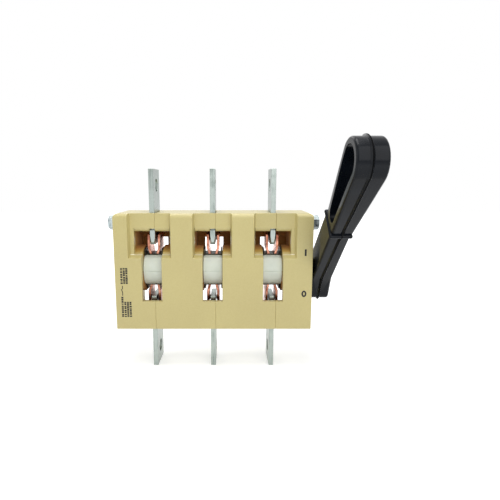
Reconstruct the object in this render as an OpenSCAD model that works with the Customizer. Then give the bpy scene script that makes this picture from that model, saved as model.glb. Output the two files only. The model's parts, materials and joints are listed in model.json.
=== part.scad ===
// Three-pole switch disconnector with double-break rotary blades and a side loop handle.
// It is drawn switched on. X runs right, Y runs back towards the panel and Z runs up.
// The origin is the centre of the mounting plane, which the four feet stand on.

/* [Poles] */
// Distance between neighbouring poles
pole_pitch = 60; // [58:1:70]
// Thickness of a terminal bar
bar_t = 5; // [4:0.5:6]
// Width of a terminal bar, front to back
bar_w = 30; // [24:1:32]
// Outer end of a terminal bar, from the shaft axis
bar_reach = 101.4; // [90:0.1:115]
// Inner end of a terminal bar, from the shaft axis
bar_tip = 26.4; // [25:0.1:30]
// Diameter of the bolt hole in a terminal bar
terminal_hole_d = 13; // [9:0.5:14]

/* [Housing] */
// Housing beyond the left pole's centre
left_reach = 36.6; // [36.6:0.1:50]
// Housing beyond the right pole's centre
right_reach = 38.7; // [37:0.1:50]
// Height of the housing
housing_h = 116.5; // [110:0.5:130]
// Depth of the housing, without its feet
housing_d = 48; // [46:1:52]
// Radius of the rounded edges
edge_r = 4.5; // [1:0.5:6]
// Height of the feet behind the housing
foot_h = 22; // [18:1:30]

/* [Openings] */
// Depth of the shallow recess over each window
recess_d = 6; // [4:0.5:8]
// Width of the shallow recess, at the front
recess_w = 38.6; // [36:0.2:44]
// Width of the window into each arc chamber
window_w = 35.6; // [30:0.2:35.6]
// Width of the slot that the blades swing through
slot_w = 19.6; // [19.6:0.2:24]
// End of the slot, from the shaft axis
slot_end = 29.6; // [26:0.2:34]

/* [Rotor] */
// Radius of a drum
drum_r = 18; // [16:0.5:18.5]
// Width of a drum
drum_w = 18.8; // [17:0.2:18.8]
// Thickness of a contact blade
blade_t = 2.5; // [2:0.1:2.8]
// Reach of a blade's tip from the shaft axis
blade_reach = 37; // [36:0.5:38.5]
// Turn from on to off
throw_angle = 87; // [80:1:90]

/* [Handle] */
// Length of the arm, up to the guard ridge
arm_len = 84; // [70:1:100]
// Reach of the grip loop from the shaft axis
handle_reach = 173.2; // [150:0.2:190]

/* [Hidden] */
$fn = 48;

moulding = [0.80, 0.75, 0.54];
tinned_copper = [0.71, 0.74, 0.72];
copper = [0.72, 0.42, 0.32];
zinc = [0.80, 0.82, 0.82];
ivory = [0.83, 0.85, 0.79];
dark_steel = [0.22, 0.23, 0.22];
black_plastic = [0.13, 0.14, 0.15];
brass = [0.78, 0.62, 0.30];
white_plastic = [0.90, 0.90, 0.86];

over = 1;                          // how far a cut runs past the face it opens
half_h = housing_h / 2;
half_d = housing_d / 2;
axis_y = -(half_d + foot_h);       // the shaft axis stands this far in front of the mounting plane
POLES = [-pole_pitch, 0, pole_pitch];
wall_t = 5;                        // wall that closes an arc chamber
chamber_top = 40;                  // end of an arc chamber, from the shaft axis
chamber_step = 30.5;               // beyond this the chamber's wall is thicker
chamber_step_t = 1.5;
recess_end = 14;                   // the recess's floor starts at this height on the front face
recess_step = 16.95;               // and slopes to this height at its inner edge
recess_draft = 1.5;                // the recess narrows by this much on each side
outer_recess = 3.5;                // extra width of the end poles' recesses
arch_r = 23.9;                     // the window's floor is an arch about the drum
lip_r = 4;                         // rounding of the lip over a window
notch_w = 6;
notch_h = 2.75;
seam_x = notch_w / 2;              // each seam lies along the right edge of the notches

lip_cut = 2.6;                     // corner cut at a bar's inner end
lip_len = 10;                      // bevels on a bar's front edges
lip_angle = 7;
seat_cut = 2.4;                    // notch in a bar's front edge, inside the housing
seat_z = [41.2, 46];

rod_r = 4;
rod_y = -6;                        // the upper tie rod, from the shaft axis
rod_z = 47.9;
sleeve_r = 5.3;
sleeve_bore = 5.4;
nut_af = 13;
nut_h = 6.5;
washer_r = 8;
washer_t = 1.6;
counterbore_r = 10;
counterbore_d = 12;
rod_out = washer_t + nut_h - 0.3;  // a rod ends just below its nut's face

journal_r = 9;
journal_bore = 9.06;               // running clearance of 0.06 mm
journal_end = 15;
shaft_passage = 7.8;               // bore round the square shafts, between the journals
shaft_side = 10;
socket_gap = 5.4;                  // the drum is solid this far each side of its blades
drum_flat = 15;
blade_gap = 2.3;                   // half of the gap between a pair of blades, in the drum
blade_spread = 3.9;                // the same, where they pass over the bar
blade_waist = 9;
blade_half_w = 12;
boss_z = 31.5;                     // bosses that press on the bar, from the shaft axis
boss_gap = 0.35;
plate_t = 1.2;
plate_w = 18.6;
ear_top = 22.2;                    // the plates' ears, from the shaft axis
ear_round = 3;

foot_w = 13;
foot_z = [38, 51.5];
insert_x = POLES[2] + left_reach - foot_w / 2;
insert_z = (foot_z[0] + foot_z[1]) / 2;
insert_r = 4.5;
insert_len = 15;
insert_bore = 3.1;

handle_angle = throw_angle / 2;    // the arm stands this far over the level when switched on
handle_in = 99.5;                  // inner face of the hub
handle_split = 111;                // where the two halves meet
handle_out = 121.7;                // outer face of the hub
arm_in = 101.8;                    // faces of the arm; it grows towards the hub
arm_out = 119.4;
arm_hub_out = 121.4;                // outer face where the arm runs into the hub
arm_r = 4;
hub_r = 8;
arm_top = [[-14.4, arm_len], [3.5, arm_len]];  // corner centres, across and along the handle
arm_root = [[-10.3, -0.6], [7.6, -0.6]];
hub_corners = [[-6.3, -1], [4, -1], [-14.5, -23.4], [5, -23.4]];
grip_root = [-6, 85.7, 13.1, 102.3, 120.2];    // centre, radius, and inner and outer face
grip_end = [-6.8, handle_reach - 17.5, 17.5, 100.4, 123.3];
loop_root = [-6.6, 97, 7.3];
loop_end = [-6.8, handle_reach - 17.5, 12.4];
collar_x = [-19.4, 8];             // ends of the guard ridge, across the handle
collar_w = 3.6;
collar_y = arm_len - 1.4;
bead_h = 1.5;
bead_w = 3.2;
bead_flat = 0.9;

// ---- placing ----

// Moves a piece drawn about the shaft axis to its place.
module on_axis() translate([0, axis_y, 0]) children();

// Turns a shape drawn in Y and Z, and extruded up, so that it is extruded along X from x0 to x1.
module along_x(x0, x1) translate([x0, 0, 0]) rotate([90, 0, 90]) linear_extrude(x1 - x0) children();

// A rod along X from x0 to x1.
module x_rod(r, x0, x1) translate([x0, 0, 0]) rotate([0, 90, 0]) cylinder(r = r, h = x1 - x0);

// A cone along X from x0 to x1.
module x_cone(r0, r1, x0, x1) translate([x0, 0, 0]) rotate([0, 90, 0])
    cylinder(r1 = r0, r2 = r1, h = x1 - x0);

// A rod along X whose ends are chamfered by c.
module chamfered_rod(r, c, x0, x1) {
    x_rod(r, x0 + c, x1 - c);
    x_cone(r - c, r, x0, x0 + c);
    x_cone(r, r - c, x1 - c, x1);
}

// The upper and the lower half are the same, half a turn apart.
module both_halves() for (turn = [0, 180]) rotate([turn, 0, 0]) children();

// The tie rods, on the upper side and half a turn away on the lower side.
module at_rod(upper) rotate([upper ? 0 : 180, 0, 0]) translate([0, rod_y, rod_z]) children();

// ---- housing ----

// What a rounded edge takes off the front upper corner of the side view.
module edge_cut(r) {
    difference() {
        translate([-over, -r]) square([r + over, r + over]);
        translate([r, -r]) circle(r = r);
    }
}

// Side view of the housing: the front upper and the rear lower edges are rounded.
module side_view() {
    difference() {
        square([housing_d, housing_h], center = true);
        for (turn = [0, 180]) rotate(turn) translate([-half_d, half_h]) edge_cut(edge_r);
    }
}

// The outer face of an end section.
function end_x(side) = side > 0 ? POLES[2] + right_reach : POLES[0] - left_reach;

// Front view of an end section: the outer upper corner is rounded.
module end_view(side) {
    difference() {
        translate([side > 0 ? 0 : end_x(side), -half_h]) square([abs(end_x(side)), housing_h]);
        translate([end_x(side), half_h]) mirror([side > 0 ? 1 : 0, 0]) edge_cut(edge_r);
    }
}

// Side view of the two arc chambers of a pole. Beyond a step the closed wall of each is thicker.
module chamber_view() {
    difference() {
        square([2 * (half_d - wall_t), 2 * chamber_top], center = true);
        for (turn = [0, 180]) rotate(turn)
            translate([half_d - wall_t - chamber_step_t, chamber_step]) square(chamber_top);
    }
}

// The shallow recess of a pole, open at the top: its floor slopes and its sides have draft.
// The end poles' recesses are wider on their outer side.
module recess(outer_side) {
    flare = recess_draft / recess_d * over;
    left = recess_w / 2 + (outer_side < 0 ? outer_recess : 0);
    right = recess_w / 2 + (outer_side > 0 ? outer_recess : 0);
    inner_y = -half_d + recess_d;
    intersection() {
        along_x(-left - over, right + over) polygon([
            [-half_d - over, recess_end], [-half_d, recess_end], [inner_y, recess_step],
            [inner_y, half_h + over], [-half_d - over, half_h + over]]);
        linear_extrude(half_h + 2 * over) polygon([
            [-left - flare, -half_d - over], [right + flare, -half_d - over],
            [right - recess_draft, inner_y], [-left + recess_draft, inner_y]]);
    }
}

// The cuts of one pole on the upper side.
module upper_cuts(outer_side) {
    recess(outer_side);
    // window into the arc chamber, over the arched floor
    along_x(-window_w / 2, window_w / 2) difference() {
        intersection() {
            polygon([[-half_d, recess_step], [0, recess_step], [0, 0], [half_d, 0],
                     [half_d, chamber_top], [-half_d, chamber_top]]);
            chamber_view();
        }
        circle(r = arch_r, $fn = 96);
    }
    // rounded lip over the window
    along_x(-window_w / 2, window_w / 2) translate([-half_d + recess_d, chamber_top])
        mirror([0, 1]) edge_cut(lip_r);
    // slot through the closed wall, which the blades swing through
    translate([-slot_w / 2, half_d - wall_t - over, -recess_step - over])
        cube([slot_w, wall_t + 2 * over, slot_end + recess_step + over]);
    // notch over the bar's front edge
    translate([-notch_w / 2, -half_d + recess_d - over, chamber_top - over])
        cube([notch_w, half_d - recess_d - bar_w / 2 + over, notch_h + over]);
    // place of the bar, open to the seam
    translate([-bar_t / 2, -bar_w / 2, chamber_top - over])
        cube([bar_t / 2 + seam_x, bar_w, half_h]);
}

// All the cuts of one pole: both sides, and the space that the drum and blades turn in.
module pole_cuts(outer_side) {
    both_halves() upper_cuts(outer_side);
    along_x(-slot_w / 2, slot_w / 2) intersection() {
        circle(r = chamber_top, $fn = 96);
        chamber_view();
    }
    x_rod(journal_bore, -journal_end - 0.5, journal_end + 0.5);
}

// A section of the housing between two seams, with the cuts of the poles beside it.
module section(x0, x1) {
    difference() {
        along_x(x0, x1) side_view();
        for (k = [0:2])
            if (POLES[k] > x0 - pole_pitch / 2 && POLES[k] < x1 + pole_pitch / 2)
                translate([POLES[k], 0, 0]) pole_cuts(k - 1);
        for (upper = [true, false]) at_rod(upper) x_rod(sleeve_bore, x0 - over, x1 + over);
        x_rod(shaft_passage, POLES[0], POLES[2]);
    }
}

// The lower tie rod's nuts are sunk into the ends.
module nut_well(side) at_rod(false)
    x_rod(counterbore_r, side > 0 ? end_x(1) - counterbore_d : end_x(-1) - over,
          side > 0 ? end_x(1) + over : end_x(-1) + counterbore_d);

module end_section(side) {
    difference() {
        intersection() {
            section(side > 0 ? POLES[2] + seam_x : end_x(-1), side > 0 ? end_x(1) : POLES[0] + seam_x);
            rotate([90, 0, 0]) linear_extrude(2 * housing_d, center = true) end_view(side);
        }
        nut_well(side);
        if (side > 0) x_rod(journal_bore, POLES[2], end_x(1) + over);
    }
}

// The two feet behind an end section, each with a blind hole for its insert.
module feet(side) color(moulding) on_axis()
    for (z = [-1, 1]) translate([side * insert_x, half_d, z * insert_z]) difference() {
        translate([-foot_w / 2, 0, -(foot_z[1] - foot_z[0]) / 2])
            cube([foot_w, foot_h, foot_z[1] - foot_z[0]]);
        translate([0, foot_h - insert_len, 0]) rotate([-90, 0, 0])
            cylinder(r = insert_r, h = insert_len + over);
    }

module left_end_housing() color(moulding) on_axis() end_section(-1);
module left_centre_housing() color(moulding) on_axis() section(POLES[0] + seam_x, POLES[1] + seam_x);
module right_centre_housing() color(moulding) on_axis() section(POLES[1] + seam_x, POLES[2] + seam_x);
module right_end_housing() color(moulding) on_axis() end_section(1);

// ---- fixed contacts ----

// A terminal bar with a bolt hole at its outer end and a notch in its front edge, inside the housing.
// The blades slide onto its inner end, whose front corner is cut and whose front edges have bevels
// that grow towards the end.
module contact(k, upper) {
    color(tinned_copper) on_axis() translate([POLES[k], 0, 0]) rotate([upper ? 0 : 180, 0, 0])
        difference() {
            translate([-bar_t / 2, -bar_w / 2, bar_tip]) cube([bar_t, bar_w, bar_reach - bar_tip]);
            translate([0, 0, bar_reach - 16]) x_rod(terminal_hole_d / 2, -bar_t, bar_t);
            translate([0, rod_y, rod_z]) x_rod(sleeve_bore, -bar_t, bar_t);
            translate([-bar_t, -bar_w / 2 - over, seat_z[0]])
                cube([2 * bar_t, seat_cut + over, seat_z[1] - seat_z[0]]);
            along_x(-bar_t, bar_t) translate([-bar_w / 2, bar_tip]) polygon([
                [-over, lip_cut + over], [-over, -over], [lip_cut + over, -over]]);
            for (side = [-1, 1]) translate([side * bar_t / 2, -bar_w / 2, bar_tip + lip_len])
                rotate([0, 0, side * 45]) rotate([lip_angle, 0, 0])
                    translate([-bar_t, -bar_t, -2 * lip_len]) cube([2 * bar_t, bar_t, 2 * lip_len]);
        }
}

// ---- clamping hardware ----

// How far a rod runs past the housing's ends. The lower one stays inside its counterbores.
function rod_past(upper) = upper ? rod_out : rod_out - counterbore_d;

module tie_rod(upper) color(zinc) on_axis() at_rod(upper)
    chamfered_rod(rod_r, 0.6, end_x(-1) - rod_past(upper), end_x(1) + rod_past(upper));

module insulating_sleeve(upper) color(white_plastic) on_axis() at_rod(upper) difference() {
    x_rod(sleeve_r, end_x(-1) + counterbore_d, end_x(1) - counterbore_d);
    x_rod(rod_r + 0.05, end_x(-1), end_x(1));
}

// Draws outwards from the face that the hardware seats on, at the given end of a tie rod.
module rod_end(upper, side) on_axis() at_rod(upper)
    translate([end_x(side) - (upper ? 0 : side * counterbore_d), 0, 0])
        mirror([side > 0 ? 0 : 1, 0, 0]) children();

// The plain washer under each nut.
module washers(upper, side) color(zinc) rod_end(upper, side) difference() {
    chamfered_rod(washer_r, 0.25, 0, washer_t);
    x_rod(rod_r + 0.3, -over, washer_t + over);
}

// A hexagon nut with its corners turned off on the outer face.
module nut(upper, side) color(zinc) rod_end(upper, side)
    translate([washer_t, 0, 0]) rotate([0, 90, 0]) difference() {
        intersection() {
            cylinder(d = nut_af / cos(30), h = nut_h, $fn = 6);
            cylinder(r1 = nut_af / 2 + 5, r2 = nut_af / 2 - 0.1, h = nut_h + 0.6);
        }
        translate([0, 0, -over]) cylinder(r = rod_r + 0.02, h = nut_h + 2 * over);
    }

// Threaded brass inserts in the feet, for the panel bolts.
module panel_inserts() color(brass) on_axis()
    for (x = [-1, 1], z = [-1, 1])
        translate([x * insert_x, half_d + foot_h - insert_len, z * insert_z]) rotate([-90, 0, 0])
            difference() {
                cylinder(r = insert_r, h = insert_len);
                translate([0, 0, 2]) cylinder(r = insert_bore, h = insert_len);
            }

// ---- rotor ----

// One blade in front view, on the right of its pole: straight in the drum, then set out to pass
// over the bar, with its tip turned out a little.
blade_path = [[0, blade_gap], [17, blade_gap], [22, blade_spread], [34, blade_spread],
              [blade_reach, blade_spread + 0.6]];
module blade_front_view() {
    path = concat([for (i = [4:-1:1]) [blade_path[i][1], -blade_path[i][0]]],
                  [for (i = [0:4]) [blade_path[i][1], blade_path[i][0]]]);
    last = len(path) - 1;
    polygon(concat(path, [for (i = [0:last]) path[last - i] + [blade_t, 0]]));
}

// The same blade in side view: straight along its front edge, wider behind where it meets the bar,
// and rounded at the tips. The lower half is the upper half turned half a turn.
module blade_side_view() {
    intersection() {
        circle(r = blade_reach, $fn = 96);
        polygon([for (s = [1, -1]) each [
            [s * blade_waist, s * 17], [s * blade_half_w, s * 21], [s * blade_half_w, s * 32],
            [s * 7, s * 40], [s * -6, s * 40], [s * -blade_waist, s * 33]]]);
    }
}

module blade(k, side) color(copper) on_axis() translate([POLES[k], 0, 0])
    mirror([side > 0 ? 0 : 1, 0, 0]) difference() {
        union() {
            intersection() {
                rotate([90, 0, 0]) linear_extrude(2 * blade_half_w + 2, center = true) blade_front_view();
                along_x(0, 10) blade_side_view();
            }
            // bosses that press on the bars
            both_halves() translate([0, 1, boss_z])
                x_cone(1.8, 3.2, bar_t / 2 + boss_gap, blade_spread + 0.2);
        }
        // their dimples in the outer face
        both_halves() translate([0, 1, boss_z])
            x_cone(1, 2.4, blade_spread + blade_t - 0.9, blade_spread + blade_t + 0.01);
    }

// The slots that a pair of blades fills in a drum or in a plate.
module blade_slots(h) for (side = [-1, 1])
    translate([side * (blade_gap + blade_t / 2), 0, 0])
        cube([blade_t, 2 * blade_waist, 2 * h], center = true);

// Moulded carrier of one pole's blades: a drum with flats, journals and square sockets.
module drum(k) color(ivory) on_axis() translate([POLES[k], 0, 0]) difference() {
    union() {
        along_x(-drum_w / 2, drum_w / 2) intersection() {
            circle(r = drum_r, $fn = 96);
            square([2 * drum_r, 2 * drum_flat], center = true);
        }
        x_rod(journal_r, -journal_end, journal_end);
    }
    blade_slots(drum_flat + over);
    for (side = [-1, 1]) translate([side * (socket_gap + journal_end) / 2 + side, 0, 0])
        cube([journal_end - socket_gap + 2, shaft_side, shaft_side], center = true);
    // parting line and the lips of the flats
    for (z = [-drum_flat + 1.6, 0, drum_flat - 1.6]) difference() {
        translate([-drum_w, -drum_r - over, z - 0.2]) cube([2 * drum_w, 2 * (drum_r + over), 0.4]);
        x_rod(drum_r - 0.4, -drum_w, drum_w, $fn = 96);
    }
}

// One of a plate's ears, from the inner face of the plate to its rounded top, with a small hole.
module ear_view() {
    difference() {
        union() {
            translate([-12, drum_flat]) square([16, ear_top - ear_round - drum_flat]);
            translate([-12 + ear_round, drum_flat]) square([16 - 2 * ear_round, ear_top - drum_flat]);
            for (y = [-12 + ear_round, 4 - ear_round])
                translate([y, ear_top - ear_round]) circle(r = ear_round);
        }
        translate([-2, ear_top - 1.7]) circle(r = 0.8, $fn = 24);
    }
}

// Steel plates that close the drum's flats round the blades, with ears turned up at both sides.
module drum_plates(k) color(dark_steel) on_axis() translate([POLES[k], 0, 0]) both_halves()
    difference() {
        union() {
            translate([-plate_w / 2, -9.6, drum_flat]) cube([plate_w, 19.2, plate_t]);
            for (x = [-plate_w / 2, plate_w / 2 - plate_t]) along_x(x, x + plate_t) ear_view();
        }
        blade_slots(drum_flat + 2 * plate_t);
    }

// A square shaft that couples two drums, or a drum and the handle.
module square_shaft(x0, x1) color(dark_steel) on_axis()
    translate([x0, -shaft_side / 2, -shaft_side / 2]) cube([x1 - x0, shaft_side, shaft_side]);

module link_shaft(k) square_shaft(POLES[k] + socket_gap + 0.5, POLES[k + 1] - socket_gap - 0.5);

module handle_shaft() difference() {
    union() {
        square_shaft(POLES[2] + socket_gap + 0.5, handle_out - 6);
        color(dark_steel) on_axis() x_rod(journal_r, end_x(1) - 15, handle_in);
    }
    on_axis() x_rod(3, handle_out - 26, handle_out);
}

// ---- handle ----

// Draws in the handle's own frame: x across the arm, y along it and z along the shaft.
module on_handle() on_axis() rotate([90, 0, 90]) rotate([0, 0, 90 - handle_angle]) children();

// A disc from z0 to z1 with rounded edges, to hull handle shapes from.
module round_disc(r, z0, z1, e) translate([0, 0, z0]) rotate_extrude($fn = 40) hull() {
    square([0.1, z1 - z0]);
    for (z = [e, z1 - z0 - e]) translate([r - e, z]) circle(r = e, $fn = 16);
}

// A disc with a ridge round its rim, to hull the bead along the joint from.
module ridge_disc(r) translate([0, 0, handle_split]) rotate_extrude($fn = 40) polygon([
    [0, -bead_w / 2], [r, -bead_w / 2], [r + bead_h, -bead_flat / 2],
    [r + bead_h, bead_flat / 2], [r, bead_w / 2], [0, bead_w / 2]]);

// Puts its children at each of a list of corners.
module at_corners(corners) for (c = corners) translate([c[0], c[1], 0]) children();

module handle_form() {
    // grip, arm and hub
    hull() {
        at_corners([grip_root]) round_disc(grip_root[2], grip_root[3], grip_root[4], 2);
        at_corners([grip_end]) round_disc(grip_end[2], grip_end[3], grip_end[4], 2);
    }
    hull() {
        at_corners(arm_top) round_disc(arm_r, arm_in, arm_out, 2);
        at_corners(arm_root) round_disc(arm_r, arm_in, arm_hub_out, 1.8);
    }
    hull() at_corners(hub_corners) round_disc(hub_r, handle_in, handle_out, 2);
    // guard ridge between arm and grip
    hull() for (x = collar_x, z = [arm_in + 0.6, arm_out - 0.7])
        translate([x, collar_y, z]) sphere(r = collar_w / 2, $fn = 16);
    // bead along the joint
    hull() {
        at_corners([grip_root]) ridge_disc(grip_root[2]);
        at_corners([grip_end]) ridge_disc(grip_end[2]);
    }
    hull() at_corners(concat(arm_top, arm_root)) ridge_disc(arm_r);
    hull() at_corners(hub_corners) ridge_disc(hub_r);
}

module handle_half(outer) color(black_plastic) on_handle() difference() {
    intersection() {
        handle_form();
        translate([-60, -60, outer ? handle_split : 60]) cube([120, 300, outer ? 60 : handle_split - 60]);
    }
    hull() for (c = [loop_root, loop_end]) translate([c[0], c[1], 90]) cylinder(r = c[2], h = 40);
    // square socket, in line with the shaft
    rotate([0, 0, handle_angle - 90])
        translate([-shaft_side / 2, -shaft_side / 2, arm_in - 10])
            cube([shaft_side, shaft_side, handle_out - 6 - arm_in + 10]);
    translate([0, 0, handle_out - 7]) cylinder(r = 3.3, h = 20);
    translate([0, 0, handle_out - 2]) cylinder(r = 9.5, h = 20);
}

module handle_screw() color(zinc) on_handle() {
    translate([0, 0, handle_out - 24]) cylinder(r = 3, h = 24);
    translate([0, 0, handle_out - 2]) cylinder(r = 9, h = 1.5);
    translate([0, 0, handle_out - 0.5]) cylinder(d = 10 / cos(30), h = 4, $fn = 6);
}

left_end_housing();
left_centre_housing();
right_centre_housing();
right_end_housing();
feet(-1);  // left_feet
feet(1);  // right_feet
contact(0, true);  // upper_contact_1
contact(1, true);  // upper_contact_2
contact(2, true);  // upper_contact_3
contact(0, false);  // lower_contact_1
contact(1, false);  // lower_contact_2
contact(2, false);  // lower_contact_3
tie_rod(true);  // upper_tie_rod
tie_rod(false);  // lower_tie_rod
insulating_sleeve(true);  // upper_insulating_sleeve
insulating_sleeve(false);  // lower_insulating_sleeve
washers(true, -1);  // upper_left_washers
washers(true, 1);  // upper_right_washers
washers(false, -1);  // lower_left_washers
washers(false, 1);  // lower_right_washers
nut(true, -1);  // upper_left_nut
nut(true, 1);  // upper_right_nut
nut(false, -1);  // lower_left_nut
nut(false, 1);  // lower_right_nut
panel_inserts();
drum(0);  // drum_1
drum(1);  // drum_2
drum(2);  // drum_3
blade(0, -1);  // left_blade_1
blade(1, -1);  // left_blade_2
blade(2, -1);  // left_blade_3
blade(0, 1);  // right_blade_1
blade(1, 1);  // right_blade_2
blade(2, 1);  // right_blade_3
drum_plates(0);  // drum_plates_1
drum_plates(1);  // drum_plates_2
drum_plates(2);  // drum_plates_3
link_shaft(0);  // link_shaft_1
link_shaft(1);  // link_shaft_2
handle_shaft();
handle_half(false);  // inner_handle_half
handle_half(true);  // outer_handle_half
handle_screw();
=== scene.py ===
"""Looks of a three-pole switch disconnector: materials, marks, threads, stage, light, camera."""

import json
import math

import bmesh
import bpy
import numpy as np
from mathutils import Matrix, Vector


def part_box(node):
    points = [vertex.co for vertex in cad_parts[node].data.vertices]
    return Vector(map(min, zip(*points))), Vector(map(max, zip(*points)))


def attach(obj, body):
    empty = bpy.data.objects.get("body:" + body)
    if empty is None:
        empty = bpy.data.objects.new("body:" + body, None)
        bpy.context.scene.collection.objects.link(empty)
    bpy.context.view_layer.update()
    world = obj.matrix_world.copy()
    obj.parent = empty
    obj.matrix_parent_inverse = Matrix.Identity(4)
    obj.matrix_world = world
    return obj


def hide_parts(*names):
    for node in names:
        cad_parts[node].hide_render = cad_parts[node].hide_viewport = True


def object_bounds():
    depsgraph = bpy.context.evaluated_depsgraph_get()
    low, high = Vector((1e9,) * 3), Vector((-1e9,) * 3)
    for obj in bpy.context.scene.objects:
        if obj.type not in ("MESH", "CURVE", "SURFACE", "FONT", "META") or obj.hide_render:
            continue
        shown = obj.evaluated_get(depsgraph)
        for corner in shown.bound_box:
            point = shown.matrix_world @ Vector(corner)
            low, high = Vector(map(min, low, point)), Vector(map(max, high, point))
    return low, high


MM = 0.001

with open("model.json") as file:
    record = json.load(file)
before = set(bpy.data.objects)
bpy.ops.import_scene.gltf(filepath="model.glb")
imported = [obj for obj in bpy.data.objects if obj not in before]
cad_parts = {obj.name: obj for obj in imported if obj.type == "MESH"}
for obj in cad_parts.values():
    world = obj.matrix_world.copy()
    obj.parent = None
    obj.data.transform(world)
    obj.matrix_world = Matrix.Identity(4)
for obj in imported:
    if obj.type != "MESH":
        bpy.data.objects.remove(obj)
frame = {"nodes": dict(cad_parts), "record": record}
cad_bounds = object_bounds()
nodes = frame["nodes"]

PITCH = 60 * MM                 # distance between poles
SHAFT_Y = -46 * MM              # the shaft's axis is level, along X
HANDLE_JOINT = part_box("outer_handle_half")[0][0]    # the handle's halves meet at this x
RECESS_EDGE = (SHAFT_Y - 18 * MM, 16.95 * MM)       # y and z of a recess floor's inner edge

SHARP = math.radians(35)        # an edge that turns more than this is rounded
NOISE_SPAN = {"From Min": 0.3, "From Max": 0.7}     # a noise seldom leaves this span
FACTOR, FIRST, SECOND, RESULT = 0, 6, 7, 2          # sockets of a Mix node for colours


# ---- small tools ----

def linear(hex_colour):
    """An sRGB hex colour as linear RGBA."""
    parts = [int(hex_colour[i:i + 2], 16) / 255 for i in (1, 3, 5)]
    return [c / 12.92 if c <= 0.04045 else ((c + 0.055) / 1.055) ** 2.4 for c in parts] + [1.0]


def add(tree, kind, props=None, values=None, links=None):
    """Adds a shader node with its properties, socket values and incoming links."""
    made = tree.nodes.new("ShaderNode" + kind)
    for name, value in (props or {}).items():
        setattr(made, name, value)
    for socket, value in (values or {}).items():
        made.inputs[socket].default_value = value
    for socket, source in (links or {}).items():
        tree.links.new(source, made.inputs[socket])
    return made


def new_material(name):
    """A new material, with its tree, its Principled shader and Object coordinates."""
    material = bpy.data.materials.new(name)
    material.use_nodes = True
    tree = material.node_tree
    return material, tree, tree.nodes["Principled BSDF"], add(tree, "TexCoord").outputs["Object"]


# ---- materials ----

def painted_chamber_shade(tree, place):
    """How much painted shade lies on the moulding: it fills the arc chambers and thins to their
    ends.

    Across is the distance from the nearest pole's middle, and height the one above or below the
    shaft. Depth is the distance behind the shaft in the upper half, and in front of it in the lower
    half, which is the upper one turned over. The shade is the product of four smooth steps, each
    from an unshaded place to a fully shaded one, given in millimetres.
    """
    at = add(tree, "SeparateXYZ", links={"Vector": place})
    from_pole = add(tree, "Math", props={"operation": "WRAP"},
                    values={1: PITCH / 2, 2: -PITCH / 2}, links={0: at.outputs["X"]})
    across = add(tree, "Math", props={"operation": "ABSOLUTE"}, links={0: from_pole.outputs[0]})
    behind = add(tree, "Math", props={"operation": "SUBTRACT"}, values={1: SHAFT_Y},
                 links={0: at.outputs["Y"]})
    half = add(tree, "Math", props={"operation": "SIGN"}, links={0: at.outputs["Z"]})
    depth = add(tree, "Math", props={"operation": "MULTIPLY"},
                links={0: behind.outputs[0], 1: half.outputs[0]})
    height = add(tree, "Math", props={"operation": "ABSOLUTE"}, links={0: at.outputs["Z"]})
    smoke = None
    for measure, clean, smoked in ((across, 17.95, 17.83), (depth, -18.5, -6),
                                   (depth, 19.5, 18.9), (height, 40.6, 40.1)):
        fade = add(tree, "MapRange", props={"interpolation_type": "SMOOTHSTEP"},
                   values={"From Min": clean * MM, "From Max": smoked * MM},
                   links={"Value": measure.outputs[0]})
        smoke = fade if smoke is None else add(
            tree, "Math", props={"operation": "MULTIPLY"},
            links={0: smoke.outputs[0], 1: fade.outputs[0]})
    return smoke.outputs[0]


def edge_glint(tree, place):
    """How much a painted glint lightens the inner edge of a recess's floor, from 0 to 1.

    It is 1 within 0.45 mm of the edge, above and below as in front and behind, and within 84 mm of
    the middle, short of the housing's sides. From there it fades smoothly to 0 over 0.3 mm.
    """
    glint_half, reach, fade_over = 0.45, 84, 0.3
    at = add(tree, "SeparateXYZ", links={"Vector": place})
    glint = None
    for socket, centre, half in (("X", 0, reach), ("Y", RECESS_EDGE[0], glint_half),
                                 ("Z", RECESS_EDGE[1], glint_half)):
        beside = add(tree, "Math", props={"operation": "SUBTRACT"}, values={1: centre},
                     links={0: at.outputs[socket]})
        apart = add(tree, "Math", props={"operation": "ABSOLUTE"}, links={0: beside.outputs[0]})
        fade = add(tree, "MapRange", props={"interpolation_type": "SMOOTHSTEP"},
                   values={"From Min": (half + fade_over) * MM, "From Max": half * MM},
                   links={"Value": apart.outputs[0]})
        glint = fade if glint is None else add(
            tree, "Math", props={"operation": "MULTIPLY"},
            links={0: glint.outputs[0], 1: fade.outputs[0]})
    return glint.outputs[0]


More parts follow.
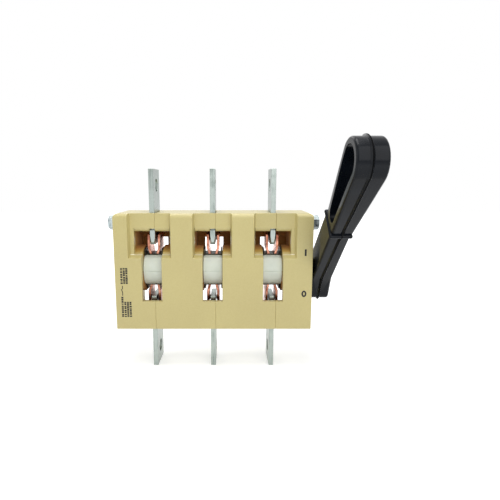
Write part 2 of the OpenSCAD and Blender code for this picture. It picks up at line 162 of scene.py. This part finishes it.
def polyester_moulding():
    """Glass-filled polyester, compression moulded: matte cream with faint flow clouds.

    Painted shade browns it in the arc chambers, and a painted glint lightens the recess floors'
    inner edges.
    """
    material, tree, shader, place = new_material("polyester_moulding")
    clouds = add(tree, "TexNoise", values={"Scale": 1 / (60 * MM), "Detail": 2},
                 links={"Vector": place})
    tint = add(tree, "ValToRGB", links={"Fac": clouds.outputs["Fac"]})
    tint.color_ramp.elements[0].position = 0.3
    tint.color_ramp.elements[0].color = linear("#C4B67B")
    tint.color_ramp.elements[1].position = 0.7
    tint.color_ramp.elements[1].color = linear("#C9BC80")
    flecks = add(tree, "TexNoise", values={"Scale": 1 / (1.6 * MM), "Detail": 2},
                 links={"Vector": place})
    fleck = add(tree, "ValToRGB", links={"Fac": flecks.outputs["Fac"]})
    fleck.color_ramp.elements[0].position = 0.35
    fleck.color_ramp.elements[0].color = linear("#E9E3CE")
    fleck.color_ramp.elements[1].position = 0.6
    fleck.color_ramp.elements[1].color = linear("#FFFFFF")
    clean = add(tree, "Mix", props={"data_type": "RGBA", "blend_type": "MULTIPLY"},
                values={FACTOR: 0.15},
                links={FIRST: tint.outputs["Color"], SECOND: fleck.outputs["Color"]})
    # Painted shade: the arc chambers' walls are browned, darker deeper in, and a warm tint where
    # the shade is light stands for light bounced between the walls.
    smoke = painted_chamber_shade(tree, place)
    warm_bounce_tint = add(tree, "ValToRGB", links={"Fac": smoke})
    warm_bounce_tint.color_ramp.elements[0].color = linear("#FFFFFF")
    warm_bounce_tint.color_ramp.elements[1].position = 0.35
    warm_bounce_tint.color_ramp.elements[1].color = linear("#F7E3A8")
    bounce_tinted = add(tree, "Mix", props={"data_type": "RGBA", "blend_type": "MULTIPLY"},
               values={FACTOR: 1.0},
               links={FIRST: clean.outputs[RESULT], SECOND: warm_bounce_tint.outputs["Color"]})
    smoked = add(tree, "Mix", props={"data_type": "RGBA"}, values={SECOND: linear("#B07C40")},
                 links={FACTOR: smoke, FIRST: bounce_tinted.outputs[RESULT]})
    # Painted highlight: a pale glint line along each recess floor's inner edge.
    glinted = add(tree, "Mix", props={"data_type": "RGBA"}, values={SECOND: linear("#F1E9CB")},
               links={FACTOR: edge_glint(tree, place), FIRST: smoked.outputs[RESULT]})
    tree.links.new(glinted.outputs[RESULT], shader.inputs["Base Color"])
    grain = add(tree, "TexNoise", values={"Scale": 1 / (0.7 * MM), "Detail": 3},
                links={"Vector": place})
    bump = add(tree, "Bump", values={"Strength": 0.08, "Distance": 0.08 * MM},
               links={"Height": grain.outputs["Fac"]})
    tree.links.new(bump.outputs[0], shader.inputs["Normal"])
    polish = add(tree, "MapRange", values={**NOISE_SPAN, "To Min": 0.28, "To Max": 0.36},
                 links={"Value": clouds.outputs["Fac"]})
    rough = add(tree, "Math", props={"operation": "MAXIMUM"},
                links={0: polish.outputs[0], 1: smoke})
    tree.links.new(rough.outputs[0], shader.inputs["Roughness"])
    shader.inputs["IOR"].default_value = 1.54
    return material


def tinned_copper():
    """Drawn copper bar, electro-tinned: soft cloudy grey metal with fine streaks along the bar."""
    material, tree, shader, place = new_material("tinned_copper")
    along = add(tree, "Mapping", values={"Scale": (1, 1, 0.04)}, links={"Vector": place})
    streaks = add(tree, "TexNoise", values={"Scale": 1 / (1.2 * MM), "Detail": 4},
                  links={"Vector": along.outputs[0]})
    clouds = add(tree, "TexNoise", values={"Scale": 1 / (14 * MM), "Detail": 3},
                 links={"Vector": place})
    both = add(tree, "Math", props={"operation": "ADD"},
               links={0: streaks.outputs["Fac"], 1: clouds.outputs["Fac"]})
    tint = add(tree, "ValToRGB", links={"Fac": both.outputs[0]})
    tint.color_ramp.elements[0].position = 0.75
    tint.color_ramp.elements[0].color = linear("#848E89")
    tint.color_ramp.elements[1].position = 1.0
    tint.color_ramp.elements[1].color = linear("#A2ABA6")
    tree.links.new(tint.outputs["Color"], shader.inputs["Base Color"])
    rough = add(tree, "MapRange", values={**NOISE_SPAN, "To Min": 0.26, "To Max": 0.4},
                links={"Value": clouds.outputs["Fac"]})
    tree.links.new(rough.outputs[0], shader.inputs["Roughness"])
    bump = add(tree, "Bump", values={"Strength": 0.2, "Distance": 0.05 * MM},
               links={"Height": streaks.outputs["Fac"]})
    tree.links.new(bump.outputs[0], shader.inputs["Normal"])
    shader.inputs["Metallic"].default_value = 1.0
    return material


def punched_copper():
    """Bare copper strip, punched and bent: reddish metal under a patchy brown film.

    It is brighter and smoother where the film is rubbed off.
    """
    material, tree, shader, place = new_material("punched_copper")
    film = add(tree, "TexNoise", values={"Scale": 1 / (6 * MM), "Detail": 5, "Roughness": 0.6},
               links={"Vector": place})
    tint = add(tree, "ValToRGB", links={"Fac": film.outputs["Fac"]})
    tint.color_ramp.elements[0].position = 0.35
    tint.color_ramp.elements[0].color = linear("#824A36")
    tint.color_ramp.elements[1].position = 0.62
    tint.color_ramp.elements[1].color = linear("#CB917A")
    tree.links.new(tint.outputs["Color"], shader.inputs["Base Color"])
    rough = add(tree, "MapRange", values={**NOISE_SPAN, "To Min": 0.38, "To Max": 0.2},
                links={"Value": film.outputs["Fac"]})
    tree.links.new(rough.outputs[0], shader.inputs["Roughness"])
    shader.inputs["Metallic"].default_value = 1.0
    return material


def nylon_moulding():
    """Unfilled nylon, injection moulded: cool ivory, slightly waxy, with a smooth half gloss."""
    material, tree, shader, place = new_material("nylon_moulding")
    clouds = add(tree, "TexNoise", values={"Scale": 1 / (12 * MM), "Detail": 3},
                 links={"Vector": place})
    tint = add(tree, "ValToRGB", links={"Fac": clouds.outputs["Fac"]})
    tint.color_ramp.elements[0].position = 0.3
    tint.color_ramp.elements[0].color = linear("#CCD2C5")
    tint.color_ramp.elements[1].position = 0.7
    tint.color_ramp.elements[1].color = linear("#D7DCD0")
    tree.links.new(tint.outputs["Color"], shader.inputs["Base Color"])
    shader.inputs["Roughness"].default_value = 0.38
    shader.inputs["IOR"].default_value = 1.53
    shader.inputs["Subsurface Weight"].default_value = 0.08
    shader.inputs["Subsurface Radius"].default_value = (3 * MM, 3 * MM, 2 * MM)
    return material


def abs_moulding():
    """Black ABS, injection moulded in a polished tool: near black, with clear but weak reflections.

    The handle's halves meet on one plane across the shaft, and the joint shows as a dark matte
    line 0.8 mm wide, which fades over 0.3 mm.
    """
    material, tree, shader, place = new_material("abs_moulding")
    film = add(tree, "TexNoise", values={"Scale": 1 / (18 * MM), "Detail": 4},
               links={"Vector": place})
    tint = add(tree, "ValToRGB", links={"Fac": film.outputs["Fac"]})
    tint.color_ramp.elements[0].position = 0.3
    tint.color_ramp.elements[0].color = linear("#090C11")
    tint.color_ramp.elements[1].position = 0.7
    tint.color_ramp.elements[1].color = linear("#10141A")
    at = add(tree, "SeparateXYZ", links={"Vector": place})
    beside = add(tree, "Math", props={"operation": "SUBTRACT"}, values={1: HANDLE_JOINT},
                 links={0: at.outputs["X"]})
    apart = add(tree, "Math", props={"operation": "ABSOLUTE"}, links={0: beside.outputs[0]})
    joint = add(tree, "MapRange", props={"interpolation_type": "SMOOTHSTEP"},
                values={"From Min": 0.7 * MM, "From Max": 0.4 * MM},
                links={"Value": apart.outputs[0]})
    lined = add(tree, "Mix", props={"data_type": "RGBA"}, values={SECOND: linear("#020203")},
                links={FACTOR: joint.outputs[0], FIRST: tint.outputs["Color"]})
    tree.links.new(lined.outputs[RESULT], shader.inputs["Base Color"])
    polish = add(tree, "MapRange", values={**NOISE_SPAN, "To Min": 0.15, "To Max": 0.21},
                 links={"Value": film.outputs["Fac"]})
    rough = add(tree, "Math", props={"operation": "MAXIMUM"},
                links={0: polish.outputs[0], 1: joint.outputs[0]})
    tree.links.new(rough.outputs[0], shader.inputs["Roughness"])
    grain = add(tree, "TexNoise", values={"Scale": 1 / (0.9 * MM), "Detail": 2},
                links={"Vector": place})
    bump = add(tree, "Bump", values={"Strength": 0.04, "Distance": 0.04 * MM},
               links={"Height": grain.outputs["Fac"]})
    tree.links.new(bump.outputs[0], shader.inputs["Normal"])
    shader.inputs["IOR"].default_value = 1.5
    shader.inputs["Specular IOR Level"].default_value = 0.14
    return material


def zinc_plate():
    """Steel hardware with bright zinc plating: pale bluish metal, quite sharp reflections."""
    material, tree, shader, place = new_material("zinc_plate")
    clouds = add(tree, "TexNoise", values={"Scale": 1 / (3 * MM), "Detail": 3},
                 links={"Vector": place})
    tint = add(tree, "ValToRGB", links={"Fac": clouds.outputs["Fac"]})
    tint.color_ramp.elements[0].position = 0.35
    tint.color_ramp.elements[0].color = linear("#8E9899")
    tint.color_ramp.elements[1].position = 0.65
    tint.color_ramp.elements[1].color = linear("#BFC9CA")
    tree.links.new(tint.outputs["Color"], shader.inputs["Base Color"])
    rough = add(tree, "MapRange", values={**NOISE_SPAN, "To Min": 0.26, "To Max": 0.38},
                links={"Value": clouds.outputs["Fac"]})
    tree.links.new(rough.outputs[0], shader.inputs["Roughness"])
    shader.inputs["Metallic"].default_value = 1.0
    return material


def blued_steel():
    """Spring steel, heat-blued and oiled: dark metal with a dull shine."""
    material, tree, shader, place = new_material("blued_steel")
    clouds = add(tree, "TexNoise", values={"Scale": 1 / (2 * MM), "Detail": 4},
                 links={"Vector": place})
    tint = add(tree, "ValToRGB", links={"Fac": clouds.outputs["Fac"]})
    tint.color_ramp.elements[0].position = 0.42
    tint.color_ramp.elements[0].color = linear("#25231D")
    tint.color_ramp.elements[1].position = 0.7
    tint.color_ramp.elements[1].color = linear("#575344")
    tree.links.new(tint.outputs["Color"], shader.inputs["Base Color"])
    rough = add(tree, "MapRange", values={**NOISE_SPAN, "To Min": 0.36, "To Max": 0.5},
                links={"Value": clouds.outputs["Fac"]})
    tree.links.new(rough.outputs[0], shader.inputs["Roughness"])
    shader.inputs["Metallic"].default_value = 1.0
    return material


def turned_brass():
    """Free-cutting brass, turned: thinly tarnished yellow metal with fine rings round its axis."""
    material, tree, shader, place = new_material("turned_brass")
    tarnish = add(tree, "TexNoise", values={"Scale": 1 / (2.5 * MM), "Detail": 4},
                  links={"Vector": place})
    tint = add(tree, "ValToRGB", links={"Fac": tarnish.outputs["Fac"]})
    tint.color_ramp.elements[0].position = 0.35
    tint.color_ramp.elements[0].color = linear("#B98F45")
    tint.color_ramp.elements[1].position = 0.65
    tint.color_ramp.elements[1].color = linear("#DDBE74")
    tree.links.new(tint.outputs["Color"], shader.inputs["Base Color"])
    # The wave turns through 20 radians per unit, so the tool's rings lie 2 pi times 0.25 mm apart
    # along the axis, which is as coarse as they need to show.
    rings = add(tree, "TexWave", props={"bands_direction": "Y"},
                values={"Scale": 1 / (20 * 0.25 * MM)}, links={"Vector": place})
    bump = add(tree, "Bump", values={"Strength": 0.25, "Distance": 0.03 * MM},
               links={"Height": rings.outputs["Fac"]})
    tree.links.new(bump.outputs[0], shader.inputs["Normal"])
    shader.inputs["Metallic"].default_value = 1.0
    shader.inputs["Roughness"].default_value = 0.28
    return material


def extruded_pvc():
    """Plasticised PVC tube, extruded: white, with faint lines along the tube and a low gloss."""
    material, tree, shader, place = new_material("extruded_pvc")
    along = add(tree, "Mapping", values={"Scale": (0.03, 1, 1)}, links={"Vector": place})
    lines = add(tree, "TexNoise", values={"Scale": 1 / (0.8 * MM), "Detail": 3},
                links={"Vector": along.outputs[0]})
    tint = add(tree, "ValToRGB", links={"Fac": lines.outputs["Fac"]})
    tint.color_ramp.elements[0].position = 0.3
    tint.color_ramp.elements[0].color = linear("#DCDCD2")
    tint.color_ramp.elements[1].position = 0.7
    tint.color_ramp.elements[1].color = linear("#E8E8E0")
    tree.links.new(tint.outputs["Color"], shader.inputs["Base Color"])
    shader.inputs["Roughness"].default_value = 0.45
    return material


def pad_print_ink():
    """Pad printing ink: black, slightly duller than the moulding, and thinner in small spots."""
    material, tree, shader, place = new_material("pad_print_ink")
    spots = add(tree, "TexNoise", values={"Scale": 1 / (0.5 * MM), "Detail": 2},
                links={"Vector": place})
    tint = add(tree, "ValToRGB", links={"Fac": spots.outputs["Fac"]})
    tint.color_ramp.elements[0].position = 0.45
    tint.color_ramp.elements[0].color = linear("#15130F")
    tint.color_ramp.elements[1].position = 0.75
    tint.color_ramp.elements[1].color = linear("#2C281E")
    tree.links.new(tint.outputs["Color"], shader.inputs["Base Color"])
    shader.inputs["Roughness"].default_value = 0.6
    return material


FINISHES = {
    "beige_moulding": polyester_moulding(),
    "tinned_copper": tinned_copper(),
    "zinc_steel": zinc_plate(),
    "white_plastic": extruded_pvc(),
    "brass": turned_brass(),
    "dark_steel": blued_steel(),
    "ivory_moulding": nylon_moulding(),
    "copper": punched_copper(),
    "black_moulding": abs_moulding(),
}
INK = pad_print_ink()


def slot_of(name):
    """The record's material slot of a CAD node."""
    return next(part["material_slot"] for part in frame["record"]["subparts"]
                if part["node"] == name)


def body_of(name):
    """The body that a CAD node belongs to."""
    return next(body for body, names in frame["record"]["behaviour"]["bodies"].items()
                if name in names)


def dress_nodes():
    """Gives every CAD node the finish of its material slot."""
    for name, obj in nodes.items():
        obj.data.materials.clear()
        obj.data.materials.append(FINISHES[slot_of(name)])


dress_nodes()


# ---- edges ----

# Width of the rounded edges in millimetres: the mouldings' come from their tools, the metal's from
# punching and tumbling. The drums' are finer, since their grooves are 0.4 mm wide, and so are those
# of the handle's halves, whose own shape already has its large rounds.
EDGES = {
    "left_end_housing": 0.45, "left_centre_housing": 0.45,
    "right_centre_housing": 0.45, "right_end_housing": 0.45,
    "left_feet": 0.5, "right_feet": 0.5,
    "upper_contact_1": 0.3, "upper_contact_2": 0.3, "upper_contact_3": 0.3,
    "lower_contact_1": 0.3, "lower_contact_2": 0.3, "lower_contact_3": 0.3,
    "upper_left_nut": 0.25, "upper_right_nut": 0.25,
    "lower_left_nut": 0.25, "lower_right_nut": 0.25,
    "drum_1": 0.12, "drum_2": 0.12, "drum_3": 0.12,
    "left_blade_1": 0.3, "left_blade_2": 0.3, "left_blade_3": 0.3,
    "right_blade_1": 0.3, "right_blade_2": 0.3, "right_blade_3": 0.3,
    "drum_plates_1": 0.2, "drum_plates_2": 0.2, "drum_plates_3": 0.2,
    "inner_handle_half": 0.12, "outer_handle_half": 0.12, "handle_screw": 0.2,
}


def merged_copy(name, merge_within=0.002 * MM, flat_within=math.radians(0.5)):
    """A copy of a CAD node's mesh, its loose triangles joined and its flat faces made whole."""
    shape = bmesh.new()
    shape.from_mesh(nodes[name].data)
    bmesh.ops.remove_doubles(shape, verts=shape.verts, dist=merge_within)
    bmesh.ops.dissolve_limit(shape, angle_limit=flat_within, verts=shape.verts, edges=shape.edges)
    mesh = bpy.data.meshes.new(name + "_rounded")
    shape.to_mesh(mesh)
    shape.free()
    return mesh


def round_edges(name, width):
    """Puts a copy in a CAD node's place, with an arc of two steps on each edge over SHARP."""
    mesh = merged_copy(name)
    mesh.shade_smooth()
    mesh.set_sharp_from_angle(angle=SHARP)
    mesh.materials.clear()
    mesh.materials.append(FINISHES[slot_of(name)])
    piece = bpy.data.objects.new(name + "_rounded", mesh)
    bpy.context.scene.collection.objects.link(piece)
    edge = piece.modifiers.new("edge", "BEVEL")
    edge.width = width * MM
    edge.segments = 2
    edge.limit_method = "ANGLE"
    edge.angle_limit = SHARP
    edge.use_clamp_overlap = False
    normals = piece.modifiers.new("normals", "WEIGHTED_NORMAL")
    normals.keep_sharp = False
    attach(piece, body_of(name))
    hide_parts(name)


for node_name, edge_width in EDGES.items():
    round_edges(node_name, edge_width)


# ---- marks ----

FRONT_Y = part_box("left_centre_housing")[0][1]
INK_Y = FRONT_Y - 0.03 * MM     # the ink stands this little off the front face


def printed(name, corners, faces):
    """A printed mark on the front face: flat faces through (x, z) corners in millimetres."""
    corners = np.asarray(corners, dtype=float) * MM
    points = np.column_stack([corners[:, 0], np.full(len(corners), INK_Y), corners[:, 1]])
    mesh = bpy.data.meshes.new(name)
    mesh.from_pydata(points.tolist(), [], np.asarray(faces).tolist())
    mesh.materials.append(INK)
    piece = bpy.data.objects.new(name, mesh)
    bpy.context.scene.collection.objects.link(piece)
    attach(piece, "housing")


def bars(lines):
    """Corners and faces of upright bars: each line gives its middle's x and z, width and height.

    The corners stand half the width beside the middle, and half the height above and below it.
    """
    x, z, w, h = np.asarray(lines, dtype=float).T
    corners = np.stack([np.stack([x - w / 2, z - h / 2], 1), np.stack([x + w / 2, z - h / 2], 1),
                        np.stack([x + w / 2, z + h / 2], 1), np.stack([x - w / 2, z + h / 2], 1)],
                       1)
    count = len(x)
    return corners.reshape(-1, 2), np.arange(4 * count).reshape(count, 4)


def mark_on(x, z, width, height):
    """The stroke of the on mark: one upright bar."""
    printed("mark_on", *bars([(x, z, width, height)]))


def mark_off(x, z, width, height, stroke, steps=48):
    """The ring of the off mark: an ellipse, and a smaller one inside it by the stroke's width.

    A point of an ellipse is its middle plus the turn's sine and cosine times its half sizes.
    """
    turn = np.linspace(0, 2 * np.pi, steps, endpoint=False)
    rim = np.stack([np.sin(turn), np.cos(turn)], 1)
    outer = rim * [width / 2, height / 2] + [x, z]
    inner = rim * [width / 2 - stroke, height / 2 - stroke] + [x, z]
    here = np.arange(steps)
    after = (here + 1) % steps
    printed("mark_off", np.vstack([outer, inner]),
            np.stack([here, here + steps, after + steps, after], 1))


def print_block(name, columns, z_top, z_end, stroke, seed, most=40):
    """A block of plain dashes in upright columns, from z_top down to z_end.

    A dash starts where the lengths and gaps before it add up to, and each has its own length, gap
    and width from a seeded draw. Most is more dashes than a column holds.
    """
    rng = np.random.default_rng(seed)
    lines = []
    for x in columns:
        length = rng.uniform(0.9, 1.9, most)
        gap = rng.choice([0.3, 0.3, 0.8], most)
        start = z_top - np.concatenate([[0], np.cumsum(length + gap)[:-1]])
        keep = start - length > z_end
        lines.append(np.stack([np.full(keep.sum(), x), start[keep] - length[keep] / 2,
                               rng.uniform(0.8, 1, keep.sum()) * stroke, length[keep]], 1))
    printed(name, *bars(np.vstack(lines)))


def switch_symbol(x, z_top, z_end, width=0.8, lean=-0.32):
    """The wiring symbol of a switch: a line, a lifted blade and the line again, a third each.

    The blade is a slanted bar that goes sideways by lean times its height.
    """
    third = (z_top - z_end) / 3
    legs, leg_faces = bars([(x, z_top - third / 2, width, third),
                            (x, z_end + third / 2, width, third)])
    low = np.array([x, z_end + third])
    tip = low + np.array([lean, 1.0]) * third
    side = np.array([width / 2, 0.1])
    blade = np.array([low - side, low + side, tip + side, tip - side])
    blade_face = len(legs) + np.arange(len(blade))[None]
    printed("switch_symbol", np.vstack([legs, blade]), np.vstack([leg_faces, blade_face]))


PRINT_STROKE = 2.3              # width of the small print's dashes in millimetres

mark_on(x=91.4, z=20.0, width=1.9, height=6.6)
mark_off(x=90.8, z=-21.6, width=5.0, height=6.7, stroke=1.7)
print_block("upper_print", columns=(-90.0, -87.4, -84.9), z_top=4.6, z_end=-11.9,
            stroke=PRINT_STROKE, seed=3)
switch_symbol(x=-89.4, z_top=-13.4, z_end=-23.6)
print_block("lower_print_start", columns=(-89.9,), z_top=-24.6, z_end=-45.8,
            stroke=PRINT_STROKE, seed=5)
print_block("lower_print", columns=(-87.2, -84.6, -82.0), z_top=-29.8, z_end=-45.8,
            stroke=PRINT_STROKE, seed=8)


# ---- threads ----

INSERT_R = 4.5                  # outer radius of an insert in millimetres


def tapped_insert(place, length=15.0, bore=2.8, pitch=1.0, depth=0.3, steps=40, rows_per_turn=8):
    """Points and faces, in millimetres, of one turned insert on an axis along Y.

    The wall is a turned profile of radius and depth behind the mouth, which lies in the mounting
    plane. In the bore the radius also carries a triangle wave that climbs one pitch in each turn,
    which is the thread.
    """
    chamfer, rim, lead_in = 0.3, 0.75, 0.45
    start, end = 0.8, length - 2.5
    thread_y = np.linspace(start, end, int((end - start) / pitch * rows_per_turn))
    shell_r = [0, INSERT_R, INSERT_R, INSERT_R - chamfer, bore + rim, bore + depth]
    shell_y = [length, length, chamfer, 0, 0, lead_in]
    drilled_r, drilled_y = [bore, 0], [end + 0.4, end + 1.6]    # ends in the drill's cone
    profile_r = np.concatenate([shell_r, np.full(len(thread_y), bore), drilled_r])
    profile_y = np.concatenate([shell_y, thread_y, drilled_y])
    waves = np.concatenate([np.zeros(len(shell_r)), np.ones(len(thread_y)),
                            np.zeros(len(drilled_r))])
    turn = np.linspace(0, 2 * np.pi, steps, endpoint=False)
    phase = (profile_y[:, None] / pitch + turn[None] / (2 * np.pi)) % 1
    r = profile_r[:, None] + waves[:, None] * depth * (np.abs(2 * phase - 1) - 0.5) * 2
    points = np.stack([place[0] + r * np.cos(turn), place[1] - profile_y[:, None] + 0 * turn,
                       place[2] + r * np.sin(turn)], -1)
    rows, here = len(profile_r), np.arange(steps)
    after = (here + 1) % steps
    first = (np.arange(rows - 1) * steps)[:, None]
    faces = np.stack([first + here, first + after,
                      first + steps + after, first + steps + here], -1)
    return points.reshape(-1, 3), faces.reshape(-1, 4)


def tapped_inserts():
    """The four brass inserts in the feet, with their threads."""
    low, high = np.array(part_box("panel_inserts")) / MM
    x = (low[0] + INSERT_R, high[0] - INSERT_R)
    z = (low[2] + INSERT_R, high[2] - INSERT_R)
    parts = [tapped_insert((a, high[1], b)) for a in x for b in z]
    points = np.vstack([part[0] for part in parts]) * MM
    faces = np.vstack([part[1] + i * len(parts[0][0]) for i, part in enumerate(parts)])
    mesh = bpy.data.meshes.new("tapped_inserts")
    mesh.from_pydata(points.tolist(), [], faces.tolist())
    mesh.validate()
    mesh.materials.append(FINISHES["brass"])
    mesh.shade_smooth()
    mesh.set_sharp_from_angle(angle=math.radians(40))
    piece = bpy.data.objects.new("tapped_inserts", mesh)
    bpy.context.scene.collection.objects.link(piece)
    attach(piece, "housing")
    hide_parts("panel_inserts")


tapped_inserts()


# ---- stage ----

def stage_material():
    """Matte white paper. The camera and reflections see it lit up to white, with its shadows kept.

    The glow that they see grows with the distance from the object, where the lamps reach less.
    """
    material, tree, shader, place = new_material("paper_sweep")
    tree.nodes.remove(shader)
    paper = add(tree, "BsdfDiffuse", values={"Color": linear("#F4F4F4")})
    away = add(tree, "VectorMath", props={"operation": "LENGTH"}, links={0: place})
    power = add(tree, "MapRange", props={"interpolation_type": "SMOOTHSTEP"},
                values={"From Min": 0.2, "From Max": 0.8, "To Min": 0.42, "To Max": 1.0},
                links={"Value": away.outputs["Value"]})
    glow = add(tree, "Emission", values={"Color": (1, 1, 1, 1)},
               links={"Strength": power.outputs[0]})
    lit = add(tree, "AddShader", links={0: paper.outputs[0], 1: glow.outputs[0]})
    rays = add(tree, "LightPath")
    seen = add(tree, "Math", props={"operation": "MAXIMUM"},
               links={0: rays.outputs["Is Camera Ray"], 1: rays.outputs["Is Glossy Ray"]})
    pick = add(tree, "MixShader",
               links={0: seen.outputs[0], 1: paper.outputs[0], 2: lit.outputs[0]})
    tree.links.new(pick.outputs[0], tree.nodes["Material Output"].inputs["Surface"])
    return material


def floor(height, half=2.0):
    """A level square of paper at the given height, reaching half to each side of the middle."""
    mesh = bpy.data.meshes.new("floor")
    mesh.from_pydata([(-half, -half, height), (half, -half, height),
                      (half, half, height), (-half, half, height)], [], [(0, 1, 2, 3)])
    obj = bpy.data.objects.new("floor", mesh)
    bpy.context.scene.collection.objects.link(obj)
    mesh.materials.append(stage_material())


def area_light(name, place, size, power, target=(0, -0.05, 0)):
    """A square white soft box at a place, facing the object's middle."""
    lamp = bpy.data.lights.new(name, "AREA")
    lamp.shape = "SQUARE"
    lamp.size = size
    lamp.energy = power
    obj = bpy.data.objects.new(name, lamp)
    obj.location = place
    obj.rotation_euler = (Vector(target) - Vector(place)).to_track_quat("-Z", "Y").to_euler()
    bpy.context.scene.collection.objects.link(obj)


def world_light():
    """A plain grey sky for light. The camera, reflections and clear things see it as white."""
    world = bpy.data.worlds.new("studio")
    bpy.context.scene.world = world
    world.use_nodes = True
    tree = world.node_tree
    sky = tree.nodes["Background"]
    sky.inputs["Color"].default_value = (0.93, 0.96, 1.0, 1)
    sky.inputs["Strength"].default_value = 0.38
    white = add(tree, "Background", values={"Color": (1, 1, 1, 1), "Strength": 1.0})
    rays = add(tree, "LightPath")
    seen = add(tree, "Math", props={"operation": "ADD"},
               links={0: rays.outputs["Is Camera Ray"], 1: rays.outputs["Is Glossy Ray"]})
    shown = add(tree, "Math", props={"operation": "ADD", "use_clamp": True},
                links={0: seen.outputs[0], 1: rays.outputs["Is Transmission Ray"]})
    pick = add(tree, "MixShader",
               links={0: shown.outputs[0], 1: sky.outputs[0], 2: white.outputs[0]})
    tree.links.new(pick.outputs[0], tree.nodes["World Output"].inputs["Surface"])


def camera():
    """The viewing camera: in front of the object, a little right of its middle and above it.

    It looks straight back and is tilted down, and a small shift frames the object.
    """
    tilt_down = 8.296
    data = bpy.data.cameras.new("camera")
    data.sensor_width = 36
    data.lens = 26.94
    data.shift_x = 0.0383
    data.shift_y = -0.0239
    data.clip_start = 10 * MM
    obj = bpy.data.objects.new("camera", data)
    obj.location = (18.15 * MM, -430.2 * MM, 87.0 * MM)
    obj.rotation_euler = (math.radians(90 - tilt_down), 0, 0)
    bpy.context.scene.collection.objects.link(obj)
    bpy.context.scene.camera = obj


FLOOR_GAP = 0.2 * MM            # keeps the floor clear of the lower bars' ends

floor(cad_bounds[0][2] - FLOOR_GAP)
world_light()
area_light("key", place=(0.24, -0.66, 0.42), size=0.7, power=2.75)
area_light("fill", place=(-1.15, -0.35, 0.5), size=0.9, power=2.2)
area_light("top", place=(0.0, -0.1, 1.2), size=0.8, power=9)
area_light("back", place=(-0.3, 0.95, 1.0), size=0.8, power=3)
camera()

bpy.context.scene.view_settings.view_transform = "Standard"
